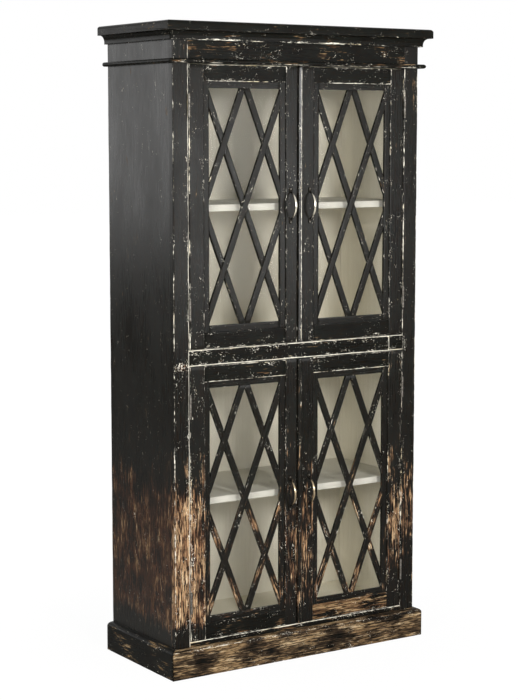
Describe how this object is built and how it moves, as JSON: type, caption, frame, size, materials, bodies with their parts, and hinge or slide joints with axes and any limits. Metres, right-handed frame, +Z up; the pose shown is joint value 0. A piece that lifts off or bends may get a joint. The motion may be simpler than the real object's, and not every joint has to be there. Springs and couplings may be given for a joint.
{
  "type": "armoire",
  "caption": "Tall free-standing armoire with inset glazed lattice doors over and under a middle rail, shelves inside, crown, bead and plinth mouldings and bow pulls.",
  "frame": {"origin": "on the floor, under the middle of the overall box", "axes": "+Z up, front of the armoire towards -Y, +X to the right seen from the front"},
  "size_m": [1.04, 0.457, 2.1],
  "materials": {
    "black_paint": "distressed black paint over pale undercoat and brown wood, satin",
    "ivory_paint": "matt ivory paint",
    "window_glass": "clear window glass",
    "antique_brass": "antique brass, worn bright on the high points",
    "plain_steel": "plain steel"
  },
  "bodies": {
    "case": {"back_panel": "ivory_paint", "bead_returns": "black_paint", "bottom_panel": "ivory_paint", "bottom_rail": "black_paint", "case_hinge_leaves": "antique_brass", "case_screws": "plain_steel", "cove_returns": "black_paint", "door_catches": "plain_steel", "frieze_rail": "black_paint", "front_bead": "black_paint", "front_cove": "black_paint", "front_plinth": "black_paint", "hinge_pins": "antique_brass", "left_side_panel": "black_paint", "left_stile": "black_paint", "lower_shelf": "ivory_paint", "middle_rail": "black_paint", "middle_shelf": "ivory_paint", "plinth_returns": "black_paint", "right_side_panel": "black_paint", "right_stile": "black_paint", "shelf_cleats": "ivory_paint", "top_board": "black_paint", "upper_shelf": "ivory_paint"},
    "upper_left_door": {"upper_left_door_fixings": "plain_steel", "upper_left_door_glass": "window_glass", "upper_left_door_glazing_beads": "black_paint", "upper_left_door_handle": "antique_brass", "upper_left_door_hinge_leaves": "antique_brass", "upper_left_door_lattice": "black_paint", "upper_left_door_rails": "black_paint", "upper_left_door_stiles": "black_paint"},
    "upper_right_door": {"upper_meeting_bead": "black_paint", "upper_right_door_fixings": "plain_steel", "upper_right_door_glass": "window_glass", "upper_right_door_glazing_beads": "black_paint", "upper_right_door_handle": "antique_brass", "upper_right_door_hinge_leaves": "antique_brass", "upper_right_door_lattice": "black_paint", "upper_right_door_rails": "black_paint", "upper_right_door_stiles": "black_paint"},
    "lower_left_door": {"lower_left_door_fixings": "plain_steel", "lower_left_door_glass": "window_glass", "lower_left_door_glazing_beads": "black_paint", "lower_left_door_handle": "antique_brass", "lower_left_door_hinge_leaves": "antique_brass", "lower_left_door_lattice": "black_paint", "lower_left_door_rails": "black_paint", "lower_left_door_stiles": "black_paint"},
    "lower_right_door": {"lower_meeting_bead": "black_paint", "lower_right_door_fixings": "plain_steel", "lower_right_door_glass": "window_glass", "lower_right_door_glazing_beads": "black_paint", "lower_right_door_handle": "antique_brass", "lower_right_door_hinge_leaves": "antique_brass", "lower_right_door_lattice": "black_paint", "lower_right_door_rails": "black_paint", "lower_right_door_stiles": "black_paint"}
  },
  "joints": [
    {"name": "upper_left_door_hinge", "type": "hinge", "parent": "case", "child": "upper_left_door", "pos_m": [-0.4255, -0.196, 1.5], "axis": [0, 0, -1], "range_deg": [0, 170]},
    {"name": "upper_right_door_hinge", "type": "hinge", "parent": "case", "child": "upper_right_door", "pos_m": [0.4255, -0.196, 1.5], "axis": [0, 0, 1], "range_deg": [0, 170]},
    {"name": "lower_left_door_hinge", "type": "hinge", "parent": "case", "child": "lower_left_door", "pos_m": [-0.4255, -0.196, 0.6], "axis": [0, 0, -1], "range_deg": [0, 170]},
    {"name": "lower_right_door_hinge", "type": "hinge", "parent": "case", "child": "lower_right_door", "pos_m": [0.4255, -0.196, 0.6], "axis": [0, 0, 1], "range_deg": [0, 170]}
  ]
}
